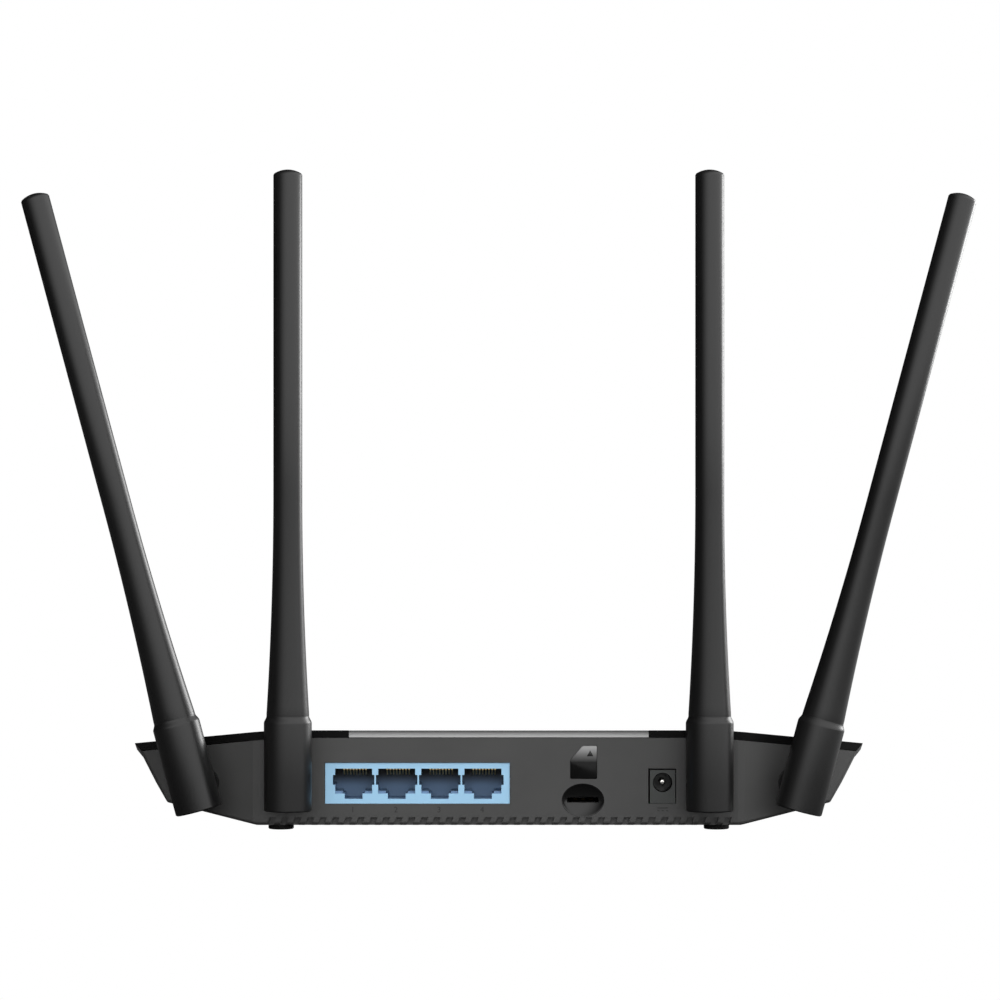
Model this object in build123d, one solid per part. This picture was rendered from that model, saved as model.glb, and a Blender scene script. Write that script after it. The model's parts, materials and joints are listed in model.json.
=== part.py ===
from build123d import *
from math import asin, cos, radians, sin, tan
import os

# Wireless router with four folding antennas, in millimetres.
# +Z is up, the port wall faces +Y and the light row is towards -Y.
# The origin is on the floor, under the middle of the whole object. Left is -X.

# ---- Driving dimensions: case ----
CASE_DEPTH = 146.0
WALL = 2.2
CORNER_R = 1.2
WING_ANGLE = 20.0  # how far each rear wing wall is turned from the middle port wall
REAR_HALF = 78.6  # half width of the flat port wall
CORNER_FACET = 0.2  # depth of the narrow flat between port wall and wing wall
FLOOR_Z = 2.0  # underside of the case, over the feet
WING_FOOT = (108.6, 8.6)  # x and z where the wing wall's lower edge meets the side
TIP_X = 117.1  # wing tip, half widths at the parting line
SIDE_X = 120.4
SIDE_BACK = 59.0  # widest point, forward of the port wall
FRONT_X = 94.0
FRONT_SWEEP = 8.0  # the front edge is a shallow V: its corners stand back by this
FLOOR_CREASE_TAPER = 0.127
WING_FLOOR_RISE = 0.21
SIDE_LEAN = 26.8
FRONT_LEAN = 30.0

# ---- Driving dimensions: cover ----
CENTRE_TOP = 32.75  # top of the cover at the port wall
CENTRE_FALL = 0.091  # fall towards the front, mm per mm
WING_FALL = 0.1044
WING_DROP = 0.0748  # fall towards the sides
CREASE_X = 72.0
CENTRE_LIP = 2.45  # height of the cover's edge
WING_LIP = 2.78
SEAM = 0.2  # shadow gap between case and cover
SIDE_FLARE = 38.7
REAR_FLARE = 19.0
SKIRT = 3.0
SKIRT_WALL = 1.2
SLIDE_GAP = 0.15

# ---- Driving dimensions: centre panel ----
PANEL_REAR_X = 48.5
PANEL_FRONT_X = 34.0
PANEL_THICK = 1.6
PANEL_GAP = 0.15
PANEL_FRONT_MARGIN = 9.0
LIGHT_COUNT = 7
LIGHT_PITCH = 7.0
LIGHT_R = 0.9

# ---- Driving dimensions: antennas ----
PIVOT_OUT = 10.5  # hinge pin to the wall
PIVOT_Z = 16.2
INNER_X = 67.8
OUTER_PIVOT_Z = 15.6
OUTER_ALONG = 18.0  # outer hub from the wall's corner, along the wing wall
OUTER_LEAN = 14.0
OUTER_FOLD = 5.4  # tipped back a little, which brings the blade parallel to the port wall
SLEEVE_R = 7.75
FOOT_DROP = 8.8  # bottom of the hinge base under the pin
ANTENNA_REACH = 197.4  # tip over the pin
PIN_R = 1.5
PIN_HALF = 6.4  # its ends are hidden inside the hinge base
FIT_GAP = 0.05
SHAFT_R = 3.9
FLANGE_R = 4.9
COLLAR_R = 4.7
SHAFT_GAP = 0.08
TONGUE_HALF = 3.1
SLOT_HALF = 3.25
TONGUE_R = 4.0
BLADE_R = 4.65
SPIGOT_R = 5.5
BLADE_BORE_R = 3.5

# ---- Driving dimensions: board and ports ----
BOARD_Z = (7.4, 9.0)
BOARD_HALF = 72.0
BOARD_REAR_GAP = 3.5
BOARD_LENGTH = 114.0
LAN_CUT = (-3.7, 56.4, 8.9, 22.35)
DC_CUT = (-57.5, -48.45, 8.9, 20.4)
LAN_X = 26.1
LAN_PITCH = 13.97
LAN_DEPTH = 16.0
DC_X = -53.1
DC_Z = 15.84
DC_HOLE_R = 3.15
DC_PIN_R = 1.0
SIM_X = -27.3
SIM_Z = 10.1
FOOT_R = 4.15
FOOT_X = (71.1, 52.0)

# ---- Derived places ----
FRONT_LIP = CENTRE_LIP * tan(radians(SIDE_FLARE)) / (1 + CENTRE_FALL * tan(radians(SIDE_FLARE)))
ANTENNA_BACK = PIVOT_OUT + SLEEVE_R
REAR_Y = (CASE_DEPTH - ANTENNA_BACK) / 2
FRONT_Y = REAR_Y - CASE_DEPTH + FRONT_LIP
BOARD_REAR_Y = REAR_Y - BOARD_REAR_GAP
BOARD_FRONT_Y = BOARD_REAR_Y - BOARD_LENGTH
BOARD_TOP = BOARD_Z[1]
LIGHT_Y = BOARD_FRONT_Y + 6.0
CASE_SCREWS = [(86.0, REAR_Y - 38.0), (-86.0, REAR_Y - 38.0), (60.0, -66.0), (-60.0, -66.0)]
BOARD_SCREWS = [(62.0, REAR_Y - 20.0), (-62.0, REAR_Y - 20.0), (62.0, -44.0), (-62.0, -44.0)]
FEET = {
    "foot_rear_left": (-FOOT_X[0], REAR_Y - 11.0),
    "foot_rear_right": (FOOT_X[0], REAR_Y - 11.0),
    "foot_front_left": (-FOOT_X[1], -50.0),
    "foot_front_right": (FOOT_X[1], -50.0),
}
RESET_XY = (-57.0, -8.0)


# ---- Small shape helpers ----
def block(x0, x1, y0, y1, z0, z1):
    centre = Pos((x0 + x1) / 2, (y0 + y1) / 2, (z0 + z1) / 2)
    return centre * Box(x1 - x0, y1 - y0, z1 - z0)


def peg(x, y, z0, z1, r):
    return Pos(x, y, (z0 + z1) / 2) * Cylinder(r, z1 - z0)


def rod_y(x, z, y0, y1, r):
    return Pos(x, (y0 + y1) / 2, z) * Rot(90, 0, 0) * Cylinder(r, y1 - y0)


def rod_x(y, z, x0, x1, r):
    return Pos((x0 + x1) / 2, y, z) * Rot(0, 90, 0) * Cylinder(r, x1 - x0)


def cut_to(body, planes):
    """Keep what lies behind every plane, each of which faces outwards."""
    for plane in planes:
        body = split(body, bisect_by=plane, keep=Keep.BOTTOM)
    return body


def pushed_in(planes, depth):
    return [plane.offset(-depth) for plane in planes]


def both_sides(point, normal):
    """The plane on the right side and its mirror image on the left."""
    x, y, z = point
    nx, ny, nz = normal
    return [
        Plane(origin=(x, y, z), z_dir=(nx, ny, nz)),
        Plane(origin=(-x, y, z), z_dir=(-nx, ny, nz)),
    ]


def leaning_normal(start, end, lean):
    """Outward normal of a wall on the edge from start to end, leaning out by an angle."""
    edge = Vector(*end) - Vector(*start)
    outward = Vector(edge.Y, -edge.X, 0).normalized()
    up_slope = outward * sin(radians(lean)) + Vector(0, 0, cos(radians(lean)))
    normal = edge.cross(up_slope).normalized()
    if normal.dot(outward) < 0:
        normal = normal * -1
    return (normal.X, normal.Y, normal.Z)


def wing_top(x, y):
    return CENTRE_TOP - WING_DROP * (abs(x) - CREASE_X) - WING_FALL * (REAR_Y - y)


def wing_parting(x, y):
    return wing_top(x, y) - WING_LIP


# ---- The faces of the case ----
WING_TAN = tan(radians(WING_ANGLE))
TIP_Y = REAR_Y - (TIP_X - REAR_HALF) * WING_TAN
WIDE_Y = REAR_Y - SIDE_BACK
CORNER_Y = FRONT_Y + FRONT_SWEEP
REAR_CORNER = (REAR_HALF, REAR_Y, wing_parting(REAR_HALF, REAR_Y))
TIP = (TIP_X, TIP_Y, wing_parting(TIP_X, TIP_Y))
WIDE = (SIDE_X, WIDE_Y, wing_parting(SIDE_X, WIDE_Y))
FRONT_CORNER = (FRONT_X, CORNER_Y, wing_parting(FRONT_X, CORNER_Y))
FRONT_MID = (0.0, FRONT_Y, CENTRE_TOP - CENTRE_LIP - CENTRE_FALL * (REAR_Y - FRONT_Y))


def outline_planes(side_lean, front_lean, rear_lean):
    """The upright faces round the case, all through its parting line."""
    rear_tilt = radians(rear_lean)
    planes = [
        Plane(
            origin=(0, REAR_Y, CENTRE_TOP - CENTRE_LIP),
            z_dir=(0, cos(rear_tilt), -sin(rear_tilt)),
        )
    ]
    half_turn = radians(WING_ANGLE / 2)
    facet = Vector(sin(half_turn) * cos(rear_tilt), cos(half_turn) * cos(rear_tilt), -sin(rear_tilt))
    planes += both_sides(Vector(*REAR_CORNER) - facet * CORNER_FACET, facet)
    planes += both_sides(TIP, leaning_normal(TIP, REAR_CORNER, rear_lean))
    planes += both_sides(WIDE, leaning_normal(WIDE, TIP, side_lean))
    planes += both_sides(FRONT_CORNER, leaning_normal(FRONT_CORNER, WIDE, side_lean))
    planes += both_sides(FRONT_MID, leaning_normal(FRONT_MID, FRONT_CORNER, front_lean))
    return planes


def top_planes(centre_drop, wing_drop):
    centre = Plane(origin=(0, REAR_Y, CENTRE_TOP - centre_drop), z_dir=(0, -CENTRE_FALL, 1))
    wing_point = (CREASE_X, REAR_Y, CENTRE_TOP - wing_drop)
    return [centre] + both_sides(wing_point, (WING_DROP, -WING_FALL, 1))


def floor_planes():
    middle = Plane(origin=(0, 0, FLOOR_Z), z_dir=(0, 0, -1))
    wing_point = (REAR_HALF, REAR_Y, FLOOR_Z)
    wing_normal = (WING_FLOOR_RISE, -WING_FLOOR_RISE * FLOOR_CREASE_TAPER, -1)
    return [middle] + both_sides(wing_point, wing_normal)


WALLS = outline_planes(SIDE_LEAN, FRONT_LEAN, 0.0)
FLARED_WALLS = outline_planes(SIDE_FLARE, SIDE_FLARE, REAR_FLARE)
FLOORS = floor_planes()
BLANK = (-140, 140, -100, 80, -5, 45)


def below_parting(drop):
    """Everything under the parting surface, lowered by drop."""
    return cut_to(block(*BLANK), top_planes(CENTRE_LIP + drop, WING_LIP + drop))


def case_block():
    body = cut_to(below_parting(0.0), WALLS + FLOORS)
    lower = [e for e in body.edges() if min(v.Z for v in e.vertices()) < FRONT_CORNER[2] - 1.0]
    return fillet(lower, CORNER_R)


def cavity():
    return cut_to(below_parting(-1.0), pushed_in(WALLS, WALL) + pushed_in(FLOORS, WALL))


# ---- Case ----
def vent_notches():
    """Shallow slanted notches along the lower edge of the port wall."""
    pitch = 4.1
    width = 2.15
    slant = 1.3
    top = 4.6
    depth = 1.5
    count = 37
    sketch_plane = Plane(origin=(0, REAR_Y + 1.0, 0), x_dir=(1, 0, 0), z_dir=(0, -1, 0))
    notches = []
    for i in range(count):
        x = (i - (count - 1) / 2) * pitch
        outline = Polygon(
            (x - width / 2 + slant / 2, 1.0),
            (x + width / 2 + slant / 2, 1.0),
            (x + width / 2 - slant / 2, top),
            (x - width / 2 - slant / 2, top),
            align=None,
        )
        notches.append(extrude(sketch_plane * outline, depth + 1.0))
    return notches


def floor_vents():
    slots = []
    for row_y in (-24.0, 12.0):
        for i in range(19):
            x = (i - 9) * 5.0
            slots.append(block(x - 0.9, x + 0.9, row_y - 12.0, row_y + 12.0, 0, FLOOR_Z + WALL + 1))
    return slots


def sim_scoop():
    """Shallow oval dish for a fingertip, round the SIM slot."""
    half_w = 6.93
    half_h = 5.48
    depth = 2.4
    ball_r = (half_h**2 + depth**2) / (2 * depth)
    ball = scale(Sphere(ball_r), by=(half_w / half_h, 1, 1))
    return Pos(SIM_X, REAR_Y + ball_r - depth, SIM_Z) * ball


def sim_mark():
    """Shallow card-shaped recess over the slot, one corner cut off."""
    left, right = -23.1, -31.9
    low, high = 16.97, 27.8
    outline = Polygon(
        (right, low), (left, low), (left, high - 4.5), (left - 4.0, high), (right, high), align=None
    )
    sketch_plane = Plane(origin=(0, REAR_Y + 1.0, 0), x_dir=(1, 0, 0), z_dir=(0, -1, 0))
    return extrude(sketch_plane * outline, 1.5)


def wall_hole(antenna):
    x, y, normal_angle = antenna["wall_x"], antenna["wall_y"], antenna["normal_angle"]
    hole = Rot(90, 0, 0) * Cylinder(SHAFT_R + SHAFT_GAP, 4 * WALL)
    return Pos(x, y, antenna["pivot_z"]) * Rot(0, 0, -normal_angle) * hole


def bottom_case():
    outer = case_block()
    case = outer - cavity()
    inside = []
    cuts = []
    for x, y in CASE_SCREWS:
        inside.append(peg(x, y, 2.5, 12.0, 4.4))
        cuts.append(peg(x, y, 0, 8.0, 3.1))
        cuts.append(peg(x, y, 7.5, 13.0, 1.7))
    for x, y in BOARD_SCREWS:
        inside.append(peg(x, y, 3.0, BOARD_Z[0], 3.2))
        cuts.append(peg(x, y, 4.4, 8.0, 1.0))
    inside.append(block(SIM_X - 8.5, SIM_X + 8.5, REAR_Y - 4.4, REAR_Y - 1, 3.5, 17.0))
    case += Compound([cut_to(piece, WALLS + FLOORS) for piece in inside])
    for x, y in FEET.values():
        cuts.append(peg(x, y, 1.0, FLOOR_Z + 0.6, FOOT_R + 0.1))
    for x0, x1, z0, z1 in (LAN_CUT, DC_CUT):
        cuts.append(block(x0, x1, REAR_Y - 4, REAR_Y + 1, z0, z1))
    cuts.append(block(SIM_X - 5.05, SIM_X + 5.05, REAR_Y - 6, REAR_Y + 1, SIM_Z - 0.87, SIM_Z + 0.87))
    cuts.append(sim_scoop())
    cuts.append(sim_mark())
    cuts.append(peg(*RESET_XY, 0, 6, 1.1))
    cuts += [wall_hole(antenna) for antenna in ANTENNAS.values()]
    cuts += vent_notches()
    cuts += floor_vents()
    return case - cuts


# ---- Cover ----
def panel_region(grow):
    """Space of the centre panel: a plate let into the cover and rolled down over its rear edge."""
    over_cut = 3.0 if grow else 0.0
    taper = (PANEL_REAR_X - PANEL_FRONT_X) / CASE_DEPTH
    sides = both_sides((PANEL_REAR_X + grow, REAR_Y, 0), (1, -taper, 0))
    front = Plane(origin=(0, FRONT_Y + PANEL_FRONT_MARGIN - grow, 0), z_dir=(0, -1, 0))
    rear = FLARED_WALLS[0].offset(over_cut)
    top = top_planes(-over_cut, 0)[0]
    plate = cut_to(block(*BLANK), sides + [front, rear, top])
    under_plate = cut_to(block(*BLANK), [top_planes(PANEL_THICK + grow, 0)[0]])
    roll_back = FLARED_WALLS[0].offset(-PANEL_THICK - grow)
    behind_roll = cut_to(under_plate, [roll_back])
    below_lip = cut_to(block(*BLANK), [top_planes(CENTRE_LIP - SEAM, 0)[0]])
    return plate - behind_roll - below_lip


def light_places():
    return [((i - (LIGHT_COUNT - 1) / 2) * LIGHT_PITCH, LIGHT_Y) for i in range(LIGHT_COUNT)]


def top_cover():
    outer = cut_to(block(*BLANK), top_planes(0, 0) + FLARED_WALLS)
    slab = outer - below_parting(-SEAM)
    fall_skirt = WALL + SLIDE_GAP
    skirt_out = cut_to(below_parting(-SEAM - 0.1), pushed_in(WALLS, fall_skirt) + FLOORS)
    skirt_in = cut_to(below_parting(-SEAM - 0.2), pushed_in(WALLS, fall_skirt + SKIRT_WALL))
    skirt = skirt_out - skirt_in - below_parting(SKIRT)
    cover = slab + skirt
    for x, y in CASE_SCREWS:
        post = cut_to(peg(x, y, 12.1, 40.0, 3.6), top_planes(1.0, 1.0))
        cover += post
    cuts = [peg(x, y, 12.0, 17.0, 1.5) for x, y in CASE_SCREWS]
    cuts += [peg(x, y, 10.0, 40.0, LIGHT_R + 0.15) for x, y in light_places()]
    cuts.append(panel_region(PANEL_GAP))
    return cover - cuts


def centre_panel():
    panel = panel_region(0.0)
    rear_edges = panel.edges().filter_by(Axis.X).sort_by(Axis.Z)
    panel = fillet(rear_edges[-1], 1.1)
    return panel - [peg(x, y, 10.0, 40.0, LIGHT_R + 0.1) for x, y in light_places()]


def light_pipe():
    pipe = block(-24.0, 24.0, LIGHT_Y - 1.6, LIGHT_Y + 1.6, 14.0, 16.0)
    for x, y in light_places():
        pipe += peg(x, y, 10.0, 40.0, LIGHT_R)
    return cut_to(pipe, [top_planes(0.05, 0)[0]])


def case_screws():
    screws = []
    for x, y in CASE_SCREWS:
        cross = block(x - 1.6, x + 1.6, y - 0.3, y + 0.3, 6.0, 7.2)
        cross += block(x - 0.3, x + 0.3, y - 1.6, y + 1.6, 6.0, 7.2)
        screws.append(peg(x, y, 6.4, 8.0, 2.8) + peg(x, y, 8.0, 16.0, 1.5) - cross)
    return Compound(screws)


def foot(x, y):
    pad = peg(x, y, 0, FLOOR_Z + 0.6, FOOT_R)
    return fillet(pad.edges().group_by(Axis.Z)[0], 0.5)


# ---- Board and what stands on it ----
def main_board():
    board = block(-BOARD_HALF, BOARD_HALF, BOARD_FRONT_Y, BOARD_REAR_Y, *BOARD_Z)
    cuts = [peg(x, y, 7, 10, 1.3) for x, y in BOARD_SCREWS]
    cuts.append(block(SIM_X - 9, SIM_X + 9, REAR_Y - 5.0, REAR_Y, 7, 10))
    cuts += [peg(x, y, 7, 10, 5.0) for x, y in CASE_SCREWS]
    return board - cuts


def lan_port_centres():
    return [LAN_X + (i - 1.5) * LAN_PITCH for i in range(4)]


def lan_jack_block():
    face_y = REAR_Y - 0.4
    x0, x1, z0, z1 = LAN_CUT
    jack = block(x0 + 0.15, x1 - 0.15, face_y - LAN_DEPTH, face_y, z0 + 0.1, z1 - 0.15)
    cuts = []
    depth = 13.0
    for x in lan_port_centres():
        cuts.append(block(x - 6.0, x + 6.0, face_y - depth, face_y + 1, 12.24, 20.34))
        cuts.append(block(x - 2.9, x + 2.9, face_y - depth, face_y + 1, 10.5, 12.3))
        cuts.append(block(x - 6.73, x + 6.73, face_y - depth, face_y + 1, 15.06, 18.27))
    jack -= cuts
    for x in lan_port_centres():
        for shelf_x in (x - 4.85, x + 4.85):
            jack += block(shelf_x - 1.25, shelf_x + 1.25, face_y - depth, face_y - 1.0, 12.1, 12.95)
    return jack


def lan_contacts():
    """Eight sprung wires in each port, along the roof and then sloping down to the back."""
    wire_pitch = 1.016
    wire = 0.45
    roof = 20.34
    y = REAR_Y - 0.4
    plane = Plane(origin=(0, 0, 0), x_dir=(0, 1, 0), z_dir=(1, 0, 0))
    profile = Polygon(
        (y - 0.9, roof),
        (y - 0.9, roof - 0.4),
        (y - 1.4, roof - 0.4),
        (y - 5.0, roof - 2.3),
        (y - 5.0, roof - 1.9),
        (y - 1.6, roof),
        align=None,
    )
    strip = Pos(-wire / 2, 0, 0) * extrude(plane * profile, wire)
    wires = []
    for centre in lan_port_centres():
        for i in range(8):
            wires.append(Pos(centre + (i - 3.5) * wire_pitch, 0, 0) * strip)
    return Compound(wires)


def lan_magnetics():
    y = REAR_Y - 0.4 - LAN_DEPTH - 12.0
    return Compound([block(x - 10, x + 10, y - 7, y + 7, BOARD_TOP, BOARD_TOP + 5.5) for x in (10.0, 42.0)])


def dc_jack_housing():
    face_y = REAR_Y - 0.5
    jack = block(DC_X - 4.1, DC_X + 4.1, face_y - 13.5, face_y, BOARD_TOP, 19.9)
    bore = rod_y(DC_X, DC_Z, face_y - 11.0, face_y + 1, DC_HOLE_R)
    spring_slot = block(DC_X - 1.2, DC_X + 1.2, face_y - 11.0, face_y - 2.4, DC_Z - 3.7, DC_Z)
    return jack - bore - spring_slot


def dc_centre_pin():
    face_y = REAR_Y - 0.5
    pin = rod_y(DC_X, DC_Z, face_y - 11.0, face_y - 1.4, DC_PIN_R)
    return chamfer(pin.edges().group_by(Axis.Y)[-1], 0.3)


def dc_spring_contact():
    face_y = REAR_Y - 0.5
    return block(DC_X - 1.1, DC_X + 1.1, face_y - 11.0, face_y - 2.6, DC_Z - 3.7, DC_Z - 3.4)


def sim_socket_base():
    y1 = REAR_Y - 5.2
    base = block(SIM_X - 7.4, SIM_X + 7.4, y1 - 15.0, y1, BOARD_TOP, BOARD_TOP + 0.4)
    rail = block(SIM_X + 6.0, SIM_X + 7.4, y1 - 15.0, y1, BOARD_TOP + 0.4, BOARD_TOP + 1.8)
    return base + rail


def sim_contacts():
    y1 = REAR_Y - 11.0
    pads = []
    for i in range(3):
        for j in range(2):
            x = SIM_X - 2.9 + i * 2.54
            y = y1 - 2.0 - j * 4.0
            pads.append(block(x - 0.6, x + 0.6, y - 1.0, y + 1.0, BOARD_TOP + 0.4, BOARD_TOP + 0.55))
    return Compound(pads)


def sim_socket_shell():
    y1 = REAR_Y - 5.2
    outer = block(SIM_X - 7.6, SIM_X + 7.6, y1 - 15.2, y1, BOARD_TOP, BOARD_TOP + 2.05)
    inner = block(SIM_X - 7.4, SIM_X + 7.4, y1 - 15.0, y1 + 1, BOARD_TOP - 1, BOARD_TOP + 1.85)
    return outer - inner


def sim_slider():
    """Sprung L-shaped carriage beside the card, which moves in when the card is pushed."""
    y1 = REAR_Y - 7.0
    z0 = BOARD_TOP + 0.7
    arm = block(SIM_X - 7.0, SIM_X - 5.8, y1 - 11.0, y1, z0, z0 + 0.8)
    return arm + block(SIM_X - 7.0, SIM_X - 1.0, y1 - 11.0, y1 - 10.0, z0, z0 + 0.8)


def chip(x, y, width, length, height):
    return block(x - width / 2, x + width / 2, y - length / 2, y + length / 2, BOARD_TOP, BOARD_TOP + height)


def heat_sink():
    x, y, width = 6.0, -2.0, 26.0
    base_z = BOARD_TOP + 1.4
    sink = block(x - width / 2, x + width / 2, y - width / 2, y + width / 2, base_z, base_z + 1.5)
    fin_count = 8
    for i in range(fin_count):
        fin_x = x - width / 2 + 0.5 + i * (width - 1.0) / (fin_count - 1)
        sink += block(fin_x - 0.5, fin_x + 0.5, y - width / 2, y + width / 2, base_z + 1.4, base_z + 7.0)
    return sink


def radio_shield():
    x, y = -38.0, -12.0
    outer = block(x - 15, x + 15, y - 14, y + 14, BOARD_TOP, BOARD_TOP + 2.6)
    inner = block(x - 14.75, x + 14.75, y - 13.75, y + 13.75, BOARD_TOP - 1, BOARD_TOP + 2.35)
    return outer - inner


def capacitors():
    places = [(-60.0, REAR_Y - 26.0), (-48.0, REAR_Y - 24.0), (-36.0, REAR_Y - 27.0)]
    return Compound([peg(x, y, BOARD_TOP, BOARD_TOP + 8.0, 3.1) for x, y in places])


def inductors():
    places = [(-50.0, REAR_Y - 34.0), (-38.0, REAR_Y - 36.0)]
    return Compound([fillet(chip(x, y, 6.5, 6.5, 3.0).edges().filter_by(Axis.Z), 1.2) for x, y in places])


def status_leds():
    return Compound([chip(x, y, 1.6, 0.9, 0.7) for x, y in light_places()])


def board_screws():
    screws = []
    for x, y in BOARD_SCREWS:
        slot = block(x - 1.5, x + 1.5, y - 0.3, y + 0.3, BOARD_TOP + 0.7, BOARD_TOP + 2)
        shank = peg(x, y, BOARD_Z[0] - 2.8, BOARD_TOP, 1.0)
        screws.append(peg(x, y, BOARD_TOP, BOARD_TOP + 1.4, 2.6) + shank - slot)
    return Compound(screws)


def reset_switch():
    x, y = RESET_XY
    body = block(x - 3, x + 3, y - 3, y + 3, 5.6, BOARD_Z[0])
    return body - peg(x, y, 5.0, 6.6, 1.0)


def reset_stem():
    return peg(*RESET_XY, 4.6, 6.2, 0.93)


# ---- Antenna leads: thin coaxial cables from the board to the hubs ----
LEAD_R = 0.65
LEAD_PLUGS = {
    "outer_left": (-68.0, REAR_Y - 40.0),
    "inner_left": (-66.0, REAR_Y - 32.0),
    "inner_right": (66.0, REAR_Y - 32.0),
    "outer_right": (68.0, REAR_Y - 40.0),
}


def lead_plugs():
    return Compound([peg(x, y, BOARD_TOP, BOARD_TOP + 2.2, 1.5) for x, y in LEAD_PLUGS.values()])


def antenna_lead(name):
    antenna = ANTENNAS[name]
    angle = radians(antenna["normal_angle"])
    out = Vector(sin(angle), cos(angle), 0)
    mouth = Vector(antenna["wall_x"], antenna["wall_y"], antenna["pivot_z"])
    plug_x, plug_y = LEAD_PLUGS[name]
    plug_top = BOARD_TOP + 2.2
    route = [
        mouth - out * 1.5,
        mouth - out * 14.0,
        Vector(plug_x, plug_y, plug_top + 7.0),
        Vector(plug_x, plug_y, plug_top),
    ]
    path = FilletPolyline(*route, radius=[4.0, 4.0])
    section = Plane(origin=path @ 0, z_dir=path % 0) * Circle(LEAD_R)
    return sweep(section, path=path)


# ---- Antennas, each in its own frame: pin at the origin, length along Z, wall behind -Y ----
def antenna_table():
    outer_x = REAR_HALF + OUTER_ALONG * cos(radians(WING_ANGLE))
    outer_y = REAR_Y - OUTER_ALONG * sin(radians(WING_ANGLE))
    table = {}
    for name, side in (("left", -1), ("right", 1)):
        table["outer_" + name] = {
            "wall_x": side * outer_x,
            "wall_y": outer_y,
            "pivot_z": OUTER_PIVOT_Z,
            "normal_angle": side * WING_ANGLE,
            "lean": side * OUTER_LEAN,
            "fold": OUTER_FOLD,
        }
        table["inner_" + name] = {
            "wall_x": side * INNER_X,
            "wall_y": REAR_Y,
            "pivot_z": PIVOT_Z,
            "normal_angle": 0.0,
            "lean": 0.0,
            "fold": 0.0,
        }
    return table


ANTENNAS = antenna_table()


def hub_place(antenna):
    """From the hub's own frame to its place in the case wall."""
    out = Rot(0, 0, -antenna["normal_angle"])
    lean = Rot(0, antenna["lean"], 0)
    at_wall = Pos(antenna["wall_x"], antenna["wall_y"], antenna["pivot_z"])
    return at_wall * out * Pos(0, PIVOT_OUT, 0) * lean


def blade_place(antenna):
    """The same for what turns on the hinge pin, folded back by its angle at rest."""
    return hub_place(antenna) * Rot(-antenna["fold"], 0, 0)


def hub():
    wall_y = -PIVOT_OUT
    flange = rod_y(0, 0, wall_y + 0.1, wall_y + 1.3, FLANGE_R)
    shaft = rod_y(0, 0, wall_y - WALL - 0.3, wall_y + 0.2, SHAFT_R)
    collar = rod_y(0, 0, wall_y - WALL - 1.8, wall_y - WALL - 0.2, COLLAR_R)
    collar = chamfer(collar.edges().group_by(Axis.Y)[0], 0.6)
    tongue = block(-TONGUE_HALF, TONGUE_HALF, wall_y + 1.0, 0, -TONGUE_R, TONGUE_R)
    tongue += rod_x(0, 0, -TONGUE_HALF, TONGUE_HALF, TONGUE_R)
    body = flange + shaft + collar + tongue
    snap_slit = block(-0.6, 0.6, wall_y - WALL - 3, wall_y - 0.6, -7, 7)
    lead_bore = rod_y(0, 0, wall_y - WALL - 3, wall_y + 4.5, 1.7)
    pin_hole = rod_x(0, 0, -5, 5, PIN_R + 2 * FIT_GAP)
    return body - snap_slit - lead_bore - pin_hole


def hinge_base():
    """Sleeve with a slot for the hub's tongue below and a socket for the blade above."""
    socket_z = 8.2
    top_z = 21.8
    shoulder_z = 19.5
    outline = Polyline(
        (0, -FOOT_DROP),
        (7.25, -FOOT_DROP),
        (7.65, -FOOT_DROP + 0.4),
        (SLEEVE_R, 0),
        (SLEEVE_R, shoulder_z),
        (6.85, top_z),
        (SPIGOT_R, top_z),
        (SPIGOT_R, socket_z),
        (0, socket_z),
        close=True,
    )
    sleeve = revolve(Plane.XZ * make_face(outline), Axis.Z)
    swing_r = PIVOT_OUT - 1.6
    corner = block(-9, 9, -9, 0, -10, 0) - rod_x(0, 0, -10, 10, swing_r)
    slot = block(-SLOT_HALF, SLOT_HALF, -9, TONGUE_R + 0.2, -10, TONGUE_R + 0.2)
    passage = peg(0, 0, 4, socket_z + 1, 2.0)
    pin_hole = rod_x(0, 0, -PIN_HALF, PIN_HALF, PIN_R)
    return sleeve - corner - slot - passage - pin_hole


def hinge_pin():
    pin = rod_x(0, 0, -PIN_HALF, PIN_HALF, PIN_R)
    return chamfer(pin.edges().filter_by(GeomType.CIRCLE), 0.25)


def blade():
    """Hollow tube: a spigot, a swelling that thins along a long arc, and a low domed tip."""
    spigot_z = 8.4
    shoulder_z = 21.9
    swell_r = 6.85
    arc_z0 = 23.1
    arc_z1 = 94.0
    dome = 1.45
    rim = ANTENNA_REACH - dome
    dome_r = (BLADE_R**2 + dome**2) / (2 * dome)
    half_turn = asin(BLADE_R / dome_r) / 2
    dome_mid = (dome_r * sin(half_turn), ANTENNA_REACH - dome_r + dome_r * cos(half_turn))
    mid_z = (arc_z0 + arc_z1) / 2
    mid_r = BLADE_R + (swell_r - BLADE_R) / 4 + 0.08
    outline = Curve() + [
        Polyline(
            (BLADE_BORE_R, spigot_z),
            (SPIGOT_R, spigot_z),
            (SPIGOT_R, shoulder_z),
            (swell_r, shoulder_z),
            (swell_r, arc_z0),
        ),
        ThreePointArc((swell_r, arc_z0), (mid_r, mid_z), (BLADE_R, arc_z1)),
        Line((BLADE_R, arc_z1), (BLADE_R, rim)),
        ThreePointArc((BLADE_R, rim), dome_mid, (0, ANTENNA_REACH)),
        Polyline(
            (0, ANTENNA_REACH),
            (0, rim - 1.5),
            (BLADE_BORE_R, rim - 1.5),
            (BLADE_BORE_R, spigot_z),
        ),
    ]
    return revolve(Plane.XZ * make_face(outline), Axis.Z)


def radiator():
    return block(-3.0, 3.0, -0.4, 0.4, 8.2, 180.0)


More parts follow.
